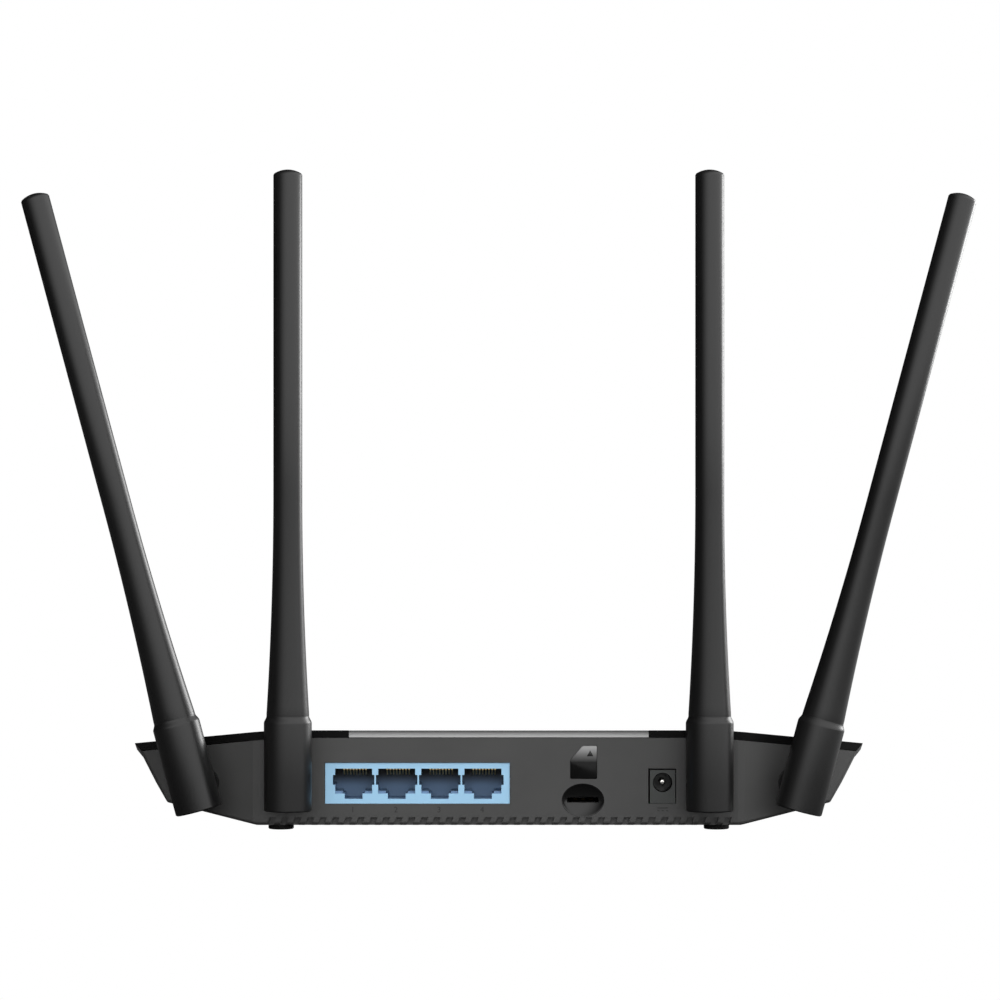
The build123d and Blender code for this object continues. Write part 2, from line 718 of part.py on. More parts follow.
# ---- Write one STEP file per piece ----
def all_pieces():
    pieces = {
        "bottom_case": bottom_case(),
        "top_cover": top_cover(),
        "centre_panel": centre_panel(),
        "light_pipe": light_pipe(),
        "case_screws": case_screws(),
        "main_board": main_board(),
        "lan_jack_block": lan_jack_block(),
        "lan_contacts": lan_contacts(),
        "lan_magnetics": lan_magnetics(),
        "dc_jack_housing": dc_jack_housing(),
        "dc_centre_pin": dc_centre_pin(),
        "dc_spring_contact": dc_spring_contact(),
        "sim_socket_base": sim_socket_base(),
        "sim_socket_shell": sim_socket_shell(),
        "sim_contacts": sim_contacts(),
        "sim_slider": sim_slider(),
        "processor": chip(6.0, -2.0, 16.0, 16.0, 1.4),
        "heat_sink": heat_sink(),
        "memory_chip": chip(30.0, -4.0, 9.0, 13.0, 1.1),
        "flash_chip": chip(30.0, -22.0, 8.0, 6.0, 1.5),
        "radio_module": chip(-38.0, -12.0, 26.0, 24.0, 1.2),
        "radio_shield": radio_shield(),
        "capacitors": capacitors(),
        "inductors": inductors(),
        "status_leds": status_leds(),
        "board_screws": board_screws(),
        "reset_switch": reset_switch(),
        "reset_stem": reset_stem(),
        "lead_plugs": lead_plugs(),
    }
    for name, (x, y) in FEET.items():
        pieces[name] = foot(x, y)
    hub_shape = hub()
    hinged_shapes = {
        "pin": hinge_pin(),
        "base": hinge_base(),
        "blade": blade(),
        "radiator": radiator(),
    }
    for name, antenna in ANTENNAS.items():
        pieces[name + "_lead"] = antenna_lead(name)
        pieces[name + "_hub"] = hub_place(antenna) * hub_shape
        for kind, shape in hinged_shapes.items():
            pieces[name + "_" + kind] = blade_place(antenna) * shape
    return pieces


os.makedirs("parts", exist_ok=True)
for node, shape in all_pieces().items():
    export_step(shape, "parts/" + node + ".step")
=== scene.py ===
import json
import math
import bmesh
import bpy
from mathutils import Matrix, Vector


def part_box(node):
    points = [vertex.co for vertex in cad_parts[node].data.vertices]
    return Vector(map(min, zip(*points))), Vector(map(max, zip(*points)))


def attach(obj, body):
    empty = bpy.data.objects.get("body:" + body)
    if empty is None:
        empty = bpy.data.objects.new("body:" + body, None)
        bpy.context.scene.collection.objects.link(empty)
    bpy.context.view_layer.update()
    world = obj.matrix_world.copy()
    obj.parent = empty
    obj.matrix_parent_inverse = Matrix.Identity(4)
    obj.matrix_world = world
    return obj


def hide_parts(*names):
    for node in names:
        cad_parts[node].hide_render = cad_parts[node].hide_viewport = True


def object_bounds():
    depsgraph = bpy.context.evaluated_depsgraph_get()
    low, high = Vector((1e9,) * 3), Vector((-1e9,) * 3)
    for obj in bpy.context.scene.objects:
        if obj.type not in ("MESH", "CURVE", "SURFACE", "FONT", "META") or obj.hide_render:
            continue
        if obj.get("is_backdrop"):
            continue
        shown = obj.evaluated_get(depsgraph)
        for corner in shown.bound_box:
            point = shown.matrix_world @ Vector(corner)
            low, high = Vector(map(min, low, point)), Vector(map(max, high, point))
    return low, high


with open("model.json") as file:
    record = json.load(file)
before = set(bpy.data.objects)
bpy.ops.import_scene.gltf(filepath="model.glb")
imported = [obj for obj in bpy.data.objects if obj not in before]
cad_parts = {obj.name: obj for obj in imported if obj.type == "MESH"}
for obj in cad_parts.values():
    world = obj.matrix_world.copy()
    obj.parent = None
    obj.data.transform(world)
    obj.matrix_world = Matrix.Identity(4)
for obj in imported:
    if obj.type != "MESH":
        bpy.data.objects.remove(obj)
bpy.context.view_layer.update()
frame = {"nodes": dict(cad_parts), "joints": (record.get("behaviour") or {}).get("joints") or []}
nodes = frame["nodes"]

# ---------------------------------------------------------------------------
# Bottom case
# One black ABS moulding: floor, port wall, wing walls and front. Its skin carries the
# fine satin grain of a spark-eroded mould. The cover screws down onto it from below.
# ---------------------------------------------------------------------------
CASE_BLACK = (0.056, 0.056, 0.0555)
CASE_GRAIN = 0.0004
EDGE_BREAK = 0.00022


def blank_finish(name):
    """A new finish with its shader and the piece's own coordinates, ready for detail."""
    finish = bpy.data.materials.new(name)
    finish.use_nodes = True
    tree = finish.node_tree
    place = tree.nodes.new("ShaderNodeTexCoord")
    return finish, tree, tree.nodes["Principled BSDF"], place.outputs["Object"]


def noise(tree, place, size, detail=4.0):
    """Cloudy variation whose lumps are about size metres across."""
    clouds = tree.nodes.new("ShaderNodeTexNoise")
    clouds.inputs["Scale"].default_value = 1.0 / size
    clouds.inputs["Detail"].default_value = detail
    tree.links.new(place, clouds.inputs["Vector"])
    return clouds.outputs["Fac"]


def between(tree, value, low, high):
    """The noise value spread from low to high."""
    spread = tree.nodes.new("ShaderNodeMapRange")
    spread.inputs["From Min"].default_value = 0.25
    spread.inputs["From Max"].default_value = 0.75
    spread.inputs["To Min"].default_value = low
    spread.inputs["To Max"].default_value = high
    tree.links.new(value, spread.inputs["Value"])
    return spread.outputs["Result"]


def shades(tree, value, *stops):
    """Colours along a value from 0 to 1: each stop is a place and a linear colour."""
    blend = tree.nodes.new("ShaderNodeValToRGB")
    ramp = blend.color_ramp
    while len(ramp.elements) < len(stops):
        ramp.elements.new(0.5)
    for element, (place, colour) in zip(ramp.elements, stops):
        element.position = place
        element.color = (*colour, 1.0)
    tree.links.new(value, blend.inputs["Fac"])
    return blend.outputs["Color"]


def relief(tree, shader, height, depth):
    """Bumps of that depth in metres under the finish."""
    bump = tree.nodes.new("ShaderNodeBump")
    bump.inputs["Strength"].default_value = 1.0
    bump.inputs["Distance"].default_value = depth
    tree.links.new(height, bump.inputs["Height"])
    tree.links.new(bump.outputs["Normal"], shader.inputs["Normal"])


def tinted(colour, factor):
    return tuple(channel * factor for channel in colour)


def moulded_plastic(name, colour, roughness, grain=CASE_GRAIN, depth=0.00001, specular=0.5):
    """Moulded plastic: grain from the mould, with slightly uneven colour and gloss."""
    finish, tree, shader, place = blank_finish(name)
    clouds = noise(tree, place, 0.02)
    colours = shades(tree, clouds, (0.3, tinted(colour, 0.93)), (0.7, tinted(colour, 1.07)))
    tree.links.new(colours, shader.inputs["Base Color"])
    gloss = between(tree, clouds, roughness * 0.93, roughness * 1.07)
    tree.links.new(gloss, shader.inputs["Roughness"])
    shader.inputs["Specular IOR Level"].default_value = specular
    relief(tree, shader, noise(tree, place, grain, 2.0), depth)
    return finish


def finish_nodes(finish, *names):
    """Give carried-over pieces their finish."""
    for name in names:
        nodes[name].data.materials.clear()
        nodes[name].data.materials.append(finish)


def break_edges(name, width, segments=2):
    """Round a moulding's sharp edges by a small radius."""
    flat = nodes[name].modifiers.new("flats", "DECIMATE")
    flat.decimate_type = "DISSOLVE"
    flat.angle_limit = math.radians(0.5)
    edges = nodes[name].modifiers.new("edges", "BEVEL")
    edges.width = width
    edges.segments = segments
    edges.limit_method = "ANGLE"
    edges.angle_limit = math.radians(32)
    edges.harden_normals = True


case_skin = moulded_plastic("case satin black", CASE_BLACK, 0.45)
finish_nodes(case_skin, "bottom_case")
break_edges("bottom_case", EDGE_BREAK)

# ---------------------------------------------------------------------------
# Feet
# Four round pads of soft black rubber, glued into shallow wells in the floor. Each has a
# domed rim and a ring-shaped groove that grips the table.
# ---------------------------------------------------------------------------
FOOT_RUBBER = (0.016, 0.016, 0.016)
FOOT_EDGE = 0.0005
FOOT_GROOVE = 0.0003


def new_piece(name, mesh, body, slot_name, finish, *stands_for):
    """Put a mesh in the scene as a piece of the object, riding on its body."""
    piece = bpy.data.objects.new(name, mesh)
    bpy.context.scene.collection.objects.link(piece)
    mesh.materials.append(finish)
    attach(piece, body)
    if stands_for:
        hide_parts(*stands_for)
    return piece


def turned(name, outline, segments=96, sharp=35):
    """A lathe-turned mesh about Z from an outline of (radius, height) points."""
    shape = bmesh.new()
    rings = []
    for radius, height in outline:
        if radius < 1e-7:
            rings.append([shape.verts.new((0, 0, height))])
            continue
        turns = [math.tau * i / segments for i in range(segments)]
        rings.append([shape.verts.new((radius * math.cos(t), radius * math.sin(t), height)) for t in turns])
    for low, high in zip(rings, rings[1:]):
        if len(low) == len(high) == 1:
            continue
        for i in range(segments):
            j = (i + 1) % segments
            if len(low) == 1:
                shape.faces.new((low[0], high[j], high[i]))
            elif len(high) == 1:
                shape.faces.new((low[i], low[j], high[0]))
            else:
                shape.faces.new((low[i], low[j], high[j], high[i]))
    bmesh.ops.remove_doubles(shape, verts=shape.verts, dist=1e-7)
    bmesh.ops.recalc_face_normals(shape, faces=shape.faces)
    mesh = bpy.data.meshes.new(name)
    shape.to_mesh(mesh)
    shape.free()
    mesh.shade_smooth()
    mesh.set_sharp_from_angle(angle=math.radians(sharp))
    return mesh


def arc(centre, radius, start, end, count):
    """Points on a round stretch of an outline, angles in degrees."""
    angles = [math.radians(start + (end - start) * i / count) for i in range(count + 1)]
    return [(centre[0] + radius * math.cos(a), centre[1] + radius * math.sin(a)) for a in angles]


rubber = moulded_plastic("foot rubber", FOOT_RUBBER, 0.72, grain=0.0006, depth=0.00002, specular=0.3)
for foot in ("foot_rear_left", "foot_rear_right", "foot_front_left", "foot_front_right"):
    low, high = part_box(foot)
    radius = (high.x - low.x) / 2
    top = high.z - low.z
    groove = radius * 0.62
    outline = [(0, 0), (groove - FOOT_GROOVE, 0), (groove, FOOT_GROOVE)]
    outline += [(groove + FOOT_GROOVE, FOOT_GROOVE), (groove + 2 * FOOT_GROOVE, 0)]
    outline += arc((radius - FOOT_EDGE, FOOT_EDGE), FOOT_EDGE, -90, 0, 6)
    outline += [(radius, top), (0, top)]
    mesh = turned(foot + "_pad", outline)
    mesh.transform(Matrix.Translation(((low.x + high.x) / 2, (low.y + high.y) / 2, low.z)))
    new_piece(foot + "_pad", mesh, "case", "foot_rubber", rubber, foot)

# ---------------------------------------------------------------------------
# Main board
# Glass-fibre board under green solder mask. Copper tracks show through the mask as slightly
# lighter lines, and four steel screws hold it to posts in the case.
# ---------------------------------------------------------------------------
MASK_GREEN = (0.012, 0.075, 0.028)
TRACK_GREEN = (0.03, 0.14, 0.05)
TRACK_PITCH = 0.0016
STEEL = (0.56, 0.56, 0.55)
GOLD = (0.83, 0.58, 0.24)


def solder_mask(name):
    finish, tree, shader, place = blank_finish(name)
    tracks = tree.nodes.new("ShaderNodeTexBrick")
    tracks.inputs["Scale"].default_value = 1.0
    tracks.inputs["Brick Width"].default_value = TRACK_PITCH * 7
    tracks.inputs["Row Height"].default_value = TRACK_PITCH
    tracks.inputs["Mortar Size"].default_value = TRACK_PITCH * 0.2
    tracks.inputs["Color1"].default_value = (*MASK_GREEN, 1)
    tracks.inputs["Color2"].default_value = (*tinted(MASK_GREEN, 0.8), 1)
    tracks.inputs["Mortar"].default_value = (*TRACK_GREEN, 1)
    tree.links.new(place, tracks.inputs["Vector"])
    tree.links.new(tracks.outputs["Color"], shader.inputs["Base Color"])
    tree.links.new(between(tree, noise(tree, place, 0.004), 0.25, 0.4), shader.inputs["Roughness"])
    relief(tree, shader, tracks.outputs["Fac"], 0.00003)
    return finish


def metal(name, colour, roughness, grain=0.0005):
    """Bare or plated metal with fine uneven polish."""
    finish, tree, shader, place = blank_finish(name)
    clouds = noise(tree, place, grain)
    colours = shades(tree, clouds, (0.3, tinted(colour, 0.9)), (0.7, tinted(colour, 1.05)))
    tree.links.new(colours, shader.inputs["Base Color"])
    tree.links.new(between(tree, clouds, roughness * 0.8, roughness * 1.2), shader.inputs["Roughness"])
    shader.inputs["Metallic"].default_value = 1.0
    relief(tree, shader, clouds, 0.000004)
    return finish


finish_nodes(solder_mask("board green"), "main_board")
steel = metal("zinc-plated steel", STEEL, 0.3)
finish_nodes(steel, "board_screws", "case_screws")
gold = metal("gold plate", GOLD, 0.25)
finish_nodes(gold, "lead_plugs")

# ---------------------------------------------------------------------------
# Chips and power parts
# The processor, memory and radio module are black moulded packages soldered to the board.
# A finned aluminium block cools the processor, and a tinned steel lid covers the radios.
# ---------------------------------------------------------------------------
CHIP_BLACK = (0.02, 0.02, 0.021)
COIL_GREY = (0.06, 0.06, 0.065)
CAN_SLEEVE = (0.03, 0.035, 0.05)
SINK_ALUMINIUM = (0.78, 0.79, 0.8)
TIN = (0.66, 0.65, 0.62)

chip_black = moulded_plastic("chip black", CHIP_BLACK, 0.55, grain=0.0002, specular=0.4)
finish_nodes(chip_black, "processor", "memory_chip", "flash_chip", "radio_module", "lan_magnetics")
finish_nodes(metal("sink aluminium", SINK_ALUMINIUM, 0.35, grain=0.001), "heat_sink")
finish_nodes(metal("tinned lid", TIN, 0.28, grain=0.003), "radio_shield")
finish_nodes(moulded_plastic("can sleeve", CAN_SLEEVE, 0.35), "capacitors")
finish_nodes(moulded_plastic("ferrite", COIL_GREY, 0.6, grain=0.0003, depth=0.00003), "inductors")

# ---------------------------------------------------------------------------
# Status lights
# Seven small white lights on the board's front edge shine up through a clear acrylic pipe,
# whose seven pegs end flush with the centre panel.
# ---------------------------------------------------------------------------
LED_WHITE = (0.86, 0.86, 0.8)
PIPE_CLEAR = (0.86, 0.89, 0.9)

finish_nodes(moulded_plastic("lamp body", LED_WHITE, 0.4), "status_leds")
pipe_finish = moulded_plastic("clear acrylic", PIPE_CLEAR, 0.12, depth=0.000002)
pipe_finish.node_tree.nodes["Principled BSDF"].inputs["Transmission Weight"].default_value = 0.6
finish_nodes(pipe_finish, "light_pipe")

# ---------------------------------------------------------------------------
# Reset
# A small push switch under the board, worked with a pin through a hole in the floor.
# ---------------------------------------------------------------------------
finish_nodes(chip_black, "reset_switch")
finish_nodes(moulded_plastic("stem black", CHIP_BLACK, 0.4), "reset_stem")

# ---------------------------------------------------------------------------
# Network ports
# Four sockets moulded as one block of light blue plastic. Eight gold-plated spring wires
# hang from the roof of each. Little light reaches the back of the sockets, and that shade is painted into
# the plastic's colour inside them.
# ---------------------------------------------------------------------------
PORT_BLUE = (0.4, 0.7, 0.96)
# Painted shade inside the sockets: a dim blue low down, near black at the roof.
PORT_DEEP_SHADE = (0.16, 0.27, 0.44)
PORT_DARK = (0.006, 0.008, 0.011)
PORT_LIT_Z = 0.0135
PORT_DARK_Z = 0.0185
PORT_SHADE_DEPTH = 0.0009


def socket_plastic_painted_shade(name, face_y, bright, deep, dark, roughness):
    """Bright plastic on the face at face_y; inside the sockets the colour is painted shade, dim blue low
    down and darkest at the roof.
    """
    finish, tree, shader, place = blank_finish(name)
    parts = tree.nodes.new("ShaderNodeSeparateXYZ")
    tree.links.new(place, parts.inputs["Vector"])
    rise = tree.nodes.new("ShaderNodeMapRange")
    rise.interpolation_type = "SMOOTHSTEP"
    rise.inputs["From Min"].default_value = PORT_LIT_Z
    rise.inputs["From Max"].default_value = PORT_DARK_Z
    tree.links.new(parts.outputs["Z"], rise.inputs["Value"])
    # Painted shade: deeper than PORT_SHADE_DEPTH behind the face, the colour darkens from dim blue to near
    # black as it rises.
    inside = shades(tree, rise.outputs["Result"], (0.0, deep), (1.0, dark))
    fall = tree.nodes.new("ShaderNodeMapRange")
    fall.inputs["From Min"].default_value = face_y - 0.00015
    fall.inputs["From Max"].default_value = face_y - PORT_SHADE_DEPTH
    tree.links.new(parts.outputs["Y"], fall.inputs["Value"])
    clouds = noise(tree, place, 0.01)
    face = shades(tree, clouds, (0.3, tinted(bright, 0.97)), (0.7, bright))
    mixed = tree.nodes.new("ShaderNodeMix")
    mixed.data_type = "RGBA"
    tree.links.new(fall.outputs["Result"], mixed.inputs["Factor"])
    tree.links.new(face, mixed.inputs["A"])
    tree.links.new(inside, mixed.inputs["B"])
    tree.links.new(mixed.outputs["Result"], shader.inputs["Base Color"])
    tree.links.new(between(tree, clouds, roughness * 0.9, roughness * 1.1), shader.inputs["Roughness"])
    relief(tree, shader, noise(tree, place, CASE_GRAIN, 2.0), 0.000006)
    return finish


jack_low, jack_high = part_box("lan_jack_block")
jack_blue = socket_plastic_painted_shade("jack blue", jack_high.y, PORT_BLUE, PORT_DEEP_SHADE, PORT_DARK, 0.5)
finish_nodes(jack_blue, "lan_jack_block")
finish_nodes(metal("spring wire gold", tinted(GOLD, 0.95), 0.35), "lan_contacts")

# ---------------------------------------------------------------------------
# Power inlet
# A square-bodied barrel socket. A black insulating ring lines its bore, and the plug's
# centre slides over a round-ended nickel pin.
# ---------------------------------------------------------------------------
INLET_GREY = (0.042, 0.046, 0.044)
LINER_BLACK = (0.003, 0.003, 0.003)
NICKEL = (0.8, 0.79, 0.76)
LINER_THICK = 0.0002
LINER_REACH = 0.2
BORE_RADIUS_DC = 0.00315
PIN_WAIST = 0.78

inlet_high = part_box("dc_jack_housing")[1]
pin_low, pin_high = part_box("dc_centre_pin")
finish_nodes(moulded_plastic("inlet grey", INLET_GREY, 0.4), "dc_jack_housing")
nickel = metal("nickel plate", NICKEL, 0.16)
finish_nodes(nickel, "dc_spring_contact")
inlet_axis = Vector(((pin_low.x + pin_high.x) / 2, inlet_high.y, (pin_low.z + pin_high.z) / 2))
facing_out = Matrix.Rotation(math.radians(-90), 4, "X")
bore_depth = inlet_high.y - pin_low.y

liner_outer = BORE_RADIUS_DC - 0.00003
liner_inner = liner_outer - LINER_THICK
liner_foot = -bore_depth * LINER_REACH
liner_outline = [(liner_inner, liner_foot), (liner_inner, -0.0006), (liner_outer, -0.0001)]
liner_outline += [(liner_outer, liner_foot), (liner_inner, liner_foot)]
liner_mesh = turned("inlet_liner", liner_outline, segments=64)
liner_mesh.transform(Matrix.Translation(inlet_axis) @ facing_out)
liner_black = moulded_plastic("liner black", LINER_BLACK, 0.7, specular=0.02)
new_piece("inlet_liner", liner_mesh, "case", "port_black", liner_black)

pin_radius = (pin_high.x - pin_low.x) / 2
pin_length = pin_high.y - pin_low.y
tip = pin_radius * 0.6
pin_outline = [(0, 0), (pin_radius, 0), (pin_radius, pin_length * 0.5)]
pin_outline += [(pin_radius * PIN_WAIST, pin_length * 0.55), (pin_radius * PIN_WAIST, pin_length * 0.8)]
pin_outline += [(pin_radius, pin_length * 0.85)]
pin_outline += arc((pin_radius - tip, pin_length - tip), tip, 0, 90, 8)
pin_outline += [(0, pin_length)]
pin_mesh = turned("power_pin", pin_outline, segments=48)
pin_mesh.transform(Matrix.Translation((inlet_axis.x, pin_low.y, inlet_axis.z)) @ facing_out)
new_piece("power_pin", pin_mesh, "case", "nickel", nickel, "dc_centre_pin")

# ---------------------------------------------------------------------------
# SIM socket
# A push-push socket on the board behind the slot: a black base with gold pads, a stamped
# steel shell over it, and a sprung carriage that moves with the card.
# ---------------------------------------------------------------------------
socket_black = moulded_plastic("socket black", LINER_BLACK, 0.7, specular=0.04)
finish_nodes(socket_black, "sim_socket_base", "sim_slider")
# Painted shade: the steel shell and the gold pads are tinted to a few percent of their own colour, as dark
# as the shaded slot.
finish_nodes(metal("stamped shell painted shade", tinted(STEEL, 0.08), 0.4), "sim_socket_shell")
finish_nodes(metal("sim pad gold painted shade", tinted(GOLD, 0.03), 0.45), "sim_contacts")

# ---------------------------------------------------------------------------
# SIM finger dish
# An oval insert, polished and snapped into the hollow round the slot; its near-black colour
# is painted shade for the hollow. It is a thin dished plate with the slot cut through its middle.
# ---------------------------------------------------------------------------
DISH_SHADE_BLACK = (0.006, 0.006, 0.006)
DISH_HALF = (0.00693, 0.00548)
DISH_DEPTH = 0.0024
DISH_THICK = 0.00005
DISH_CENTRE = (-0.0273, 0.0101)
SLOT_HALF = (0.00505, 0.00087)
DISH_TURNS = 144
DISH_RINGS = 14


def dish_mesh(name, wall_y):
    """The oval dish as rings of points, from the slot's edge out to the rim."""
    ball = (DISH_HALF[1] ** 2 + DISH_DEPTH**2) / (2 * DISH_DEPTH)
    shape = bmesh.new()
    rings = []
    for ring in range(DISH_RINGS + 1):
        out = ring / DISH_RINGS
        points = []
        for turn in range(DISH_TURNS):
            angle = math.tau * (turn + 0.5) / DISH_TURNS
            side, up = math.cos(angle), math.sin(angle)
            to_slot = min(SLOT_HALF[0] / abs(side), SLOT_HALF[1] / abs(up))
            to_rim = 0.995 / math.hypot(side / DISH_HALF[0], up / DISH_HALF[1])
            reach = to_slot + (to_rim - to_slot) * out
            x, z = side * reach, up * reach
            sunk = math.hypot(x * DISH_HALF[1] / DISH_HALF[0], z)
            y = wall_y + ball - DISH_DEPTH - math.sqrt(ball**2 - sunk**2) + 2 * DISH_THICK
            points.append(shape.verts.new((DISH_CENTRE[0] + x, min(y, wall_y), DISH_CENTRE[1] + z)))
        rings.append(points)
    for inner, outer in zip(rings, rings[1:]):
        for i in range(DISH_TURNS):
            j = (i + 1) % DISH_TURNS
            shape.faces.new((inner[i], outer[i], outer[j], inner[j]))
    bmesh.ops.recalc_face_normals(shape, faces=shape.faces)
    if sum(face.normal.y for face in shape.faces) < 0:
        bmesh.ops.reverse_faces(shape, faces=shape.faces)
    mesh = bpy.data.meshes.new(name)
    shape.to_mesh(mesh)
    shape.free()
    mesh.shade_smooth()
    return mesh


wall_y = jack_high.y + 0.0004
# Painted shade: the dish's near-black colour stands in for the shade in the hollow.
dish_shade_black = moulded_plastic(
    "dish polished painted shade", DISH_SHADE_BLACK, 0.2, grain=0.004, depth=0.000002, specular=0.4
)
dish = new_piece("sim_dish", dish_mesh("sim_dish", wall_y), "case", "panel_gloss", dish_shade_black)
thickness = dish.modifiers.new("thickness", "SOLIDIFY")
thickness.thickness = DISH_THICK
thickness.offset = -1.0

# ---------------------------------------------------------------------------
# SIM mark
# A glossy film cut to the shape of a card, stuck into its recess over the slot. Its colour
# fades from grey at the top to black at its foot, a painted reflection, and a raised arrow shows which end
# goes in.
# ---------------------------------------------------------------------------
MARK_REFLECTION_GREY = (0.42, 0.42, 0.42)
MARK_FOOT = (0.006, 0.006, 0.006)
MARK_THICK = 0.00035
MARK_GAP = 0.00008
MARK_WIDTH = 0.0088
MARK_HEIGHT = 0.01083
MARK_CUT = (0.004, 0.0045)
MARK_CORNER = 0.0005
MARK_CENTRE_X = -0.0275
MARK_FOOT_Z = 0.01697
MARK_RECESS = 0.0005
ARROW_WIDTH = 0.0021
ARROW_HEIGHT = 0.0019


def plate(name, outline, thickness, corner, edge):
    """A thin plate in the XZ plane facing +Y, with rounded corners and a soft front edge."""
    shape = bmesh.new()
    face = shape.faces.new([shape.verts.new((x, 0, z)) for x, z in outline])
    if corner:
        bmesh.ops.bevel(
            shape, geom=list(shape.verts), offset=corner, segments=5, profile=0.5, affect="VERTICES"
        )
        face = next(iter(shape.faces))
    raised = bmesh.ops.extrude_face_region(shape, geom=[face])
    front = [v for v in raised["geom"] if isinstance(v, bmesh.types.BMVert)]
    bmesh.ops.translate(shape, verts=front, vec=(0, thickness, 0))
    rim = [e for e in shape.edges if all(v in front for v in e.verts)]
    bmesh.ops.bevel(shape, geom=rim, offset=edge, segments=2, profile=0.5, affect="EDGES")
    bmesh.ops.recalc_face_normals(shape, faces=shape.faces)
    mesh = bpy.data.meshes.new(name)
    shape.to_mesh(mesh)
    shape.free()
    mesh.shade_smooth()
    mesh.set_sharp_from_angle(angle=math.radians(40))
    return mesh


def film_painted_reflection(name, foot_z, height, top_colour, foot_colour):
    """Glossy film whose colour fades from the top colour to black at its foot, a painted reflection."""
    finish, tree, shader, place = blank_finish(name)
    parts = tree.nodes.new("ShaderNodeSeparateXYZ")
    tree.links.new(place, parts.inputs["Vector"])
    rise = tree.nodes.new("ShaderNodeMapRange")
    rise.inputs["From Min"].default_value = foot_z
    rise.inputs["From Max"].default_value = foot_z + height
    tree.links.new(parts.outputs["Z"], rise.inputs["Value"])
    # Painted reflection: black over the lower half, rising to grey at the top.
    stops = ((0.0, foot_colour), (0.5, foot_colour), (0.72, tinted(top_colour, 0.35)), (1.0, top_colour))
    tree.links.new(shades(tree, rise.outputs["Result"], *stops), shader.inputs["Base Color"])
    tree.links.new(between(tree, noise(tree, place, 0.003), 0.1, 0.16), shader.inputs["Roughness"])
    shader.inputs["Specular IOR Level"].default_value = 0.12
    return finish


half = MARK_WIDTH / 2 - MARK_GAP
foot_z = MARK_FOOT_Z + MARK_GAP
top_z = MARK_FOOT_Z + MARK_HEIGHT - MARK_GAP
card = [(half, foot_z), (-half, foot_z), (-half, top_z)]
card += [(half - MARK_CUT[0], top_z), (half, top_z - MARK_CUT[1])]
film_mesh = plate("sim_mark_film", card, MARK_THICK, MARK_CORNER, 0.00012)
film_mesh.transform(Matrix.Translation((MARK_CENTRE_X, wall_y - MARK_RECESS, 0)))
film = film_painted_reflection("film painted reflection", MARK_FOOT_Z, MARK_HEIGHT, MARK_REFLECTION_GREY, MARK_FOOT)
new_piece("sim_mark_film", film_mesh, "case", "panel_gloss", film)

arrow_x = MARK_CENTRE_X - MARK_WIDTH * 0.24
arrow_z = top_z - ARROW_HEIGHT * 1.75
arrow = [(-ARROW_WIDTH / 2, 0), (0, ARROW_HEIGHT), (ARROW_WIDTH / 2, 0)]
arrow_mesh = plate("sim_mark_arrow", arrow, 0.0001, 0, 0.00003)
arrow_mesh.transform(Matrix.Translation((arrow_x, wall_y - MARK_RECESS + MARK_THICK - 0.00002, arrow_z)))
arrow_black = moulded_plastic("arrow black", MARK_FOOT, 0.3)
new_piece("sim_mark_arrow", arrow_mesh, "case", "panel_gloss", arrow_black)

# ---------------------------------------------------------------------------
# Port numbers
# Plain numerals one to four under the network ports and the direct-current sign under the
# power inlet, pad-printed in a grey just darker than the case.
# ---------------------------------------------------------------------------
PRINT_GREY = (0.018, 0.018, 0.018)
PRINT_HEIGHT = 0.0019
PRINT_THICK = 0.00004
PRINT_Z = 0.0062
PORT_PITCH = 0.01397

print_ink = moulded_plastic("print ink", PRINT_GREY, 0.5, depth=0.000002)
for port in range(4):
    words = bpy.data.curves.new("numeral", "FONT")
    words.body = str(port + 1)
    words.size = PRINT_HEIGHT * 1.4
    words.align_x = "CENTER"
    words.extrude = PRINT_THICK / 2
    words.resolution_u = 6
    drawn = bpy.data.objects.new("numeral", words)
    mesh = bpy.data.meshes.new_from_object(drawn)
    bpy.data.objects.remove(drawn)
    port_x = (jack_low.x + jack_high.x) / 2 + (1.5 - port) * PORT_PITCH
    upright = Matrix.Rotation(math.radians(180), 4, "Z") @ Matrix.Rotation(math.radians(90), 4, "X")
    mesh.transform(Matrix.Translation((port_x, wall_y + PRINT_THICK / 2, PRINT_Z)) @ upright)
    new_piece(f"port_number_{port + 1}", mesh, "case", "case_plastic", print_ink)

SIGN_WIDTH = 0.0034
SIGN_BAR = 0.0003
sign_parts = [(-SIGN_WIDTH / 2, SIGN_WIDTH / 2, SIGN_BAR * 3)]
dash = SIGN_WIDTH / 5
sign_parts += [((2 * i - 2.5) * dash, (2 * i - 1.5) * dash, 0.0) for i in range(3)]
for i, (x0, x1, z0) in enumerate(sign_parts):
    bar = [(x1, z0), (x0, z0), (x0, z0 + SIGN_BAR), (x1, z0 + SIGN_BAR)]
    mesh = plate(f"inlet_sign_{i + 1}", bar, PRINT_THICK, 0.00008, 0.00001)
    mesh.transform(Matrix.Translation((inlet_axis.x, wall_y, PRINT_Z + PRINT_HEIGHT * 0.2)))
    new_piece(f"inlet_sign_{i + 1}", mesh, "case", "case_plastic", print_ink)

# ---------------------------------------------------------------------------
# Top cover
# A second ABS moulding with a polished piano-black face and edge strip. A skirt inside its
# rim drops into the case, and four posts take the case screws.
# ---------------------------------------------------------------------------
COVER_BLACK = (0.0075, 0.0075, 0.0075)
POLISH_WAVE = 0.012

cover_gloss = moulded_plastic(
    "cover piano black", COVER_BLACK, 0.28, grain=POLISH_WAVE, depth=0.000004, specular=0.5
)
finish_nodes(cover_gloss, "top_cover")
break_edges("top_cover", EDGE_BREAK)

# ---------------------------------------------------------------------------
# Centre panel
# A tapering glossy plate let into the cover. Its face is piano black; on the edge that rolls
# down over the port wall, a grey band, dark at the top and bright lower down, is a painted reflection.
# ---------------------------------------------------------------------------
PANEL_BLACK = (0.005, 0.005, 0.005)
PANEL_EDGE_REFLECTION = (0.72, 0.72, 0.72)
PANEL_ROLL = 0.0024


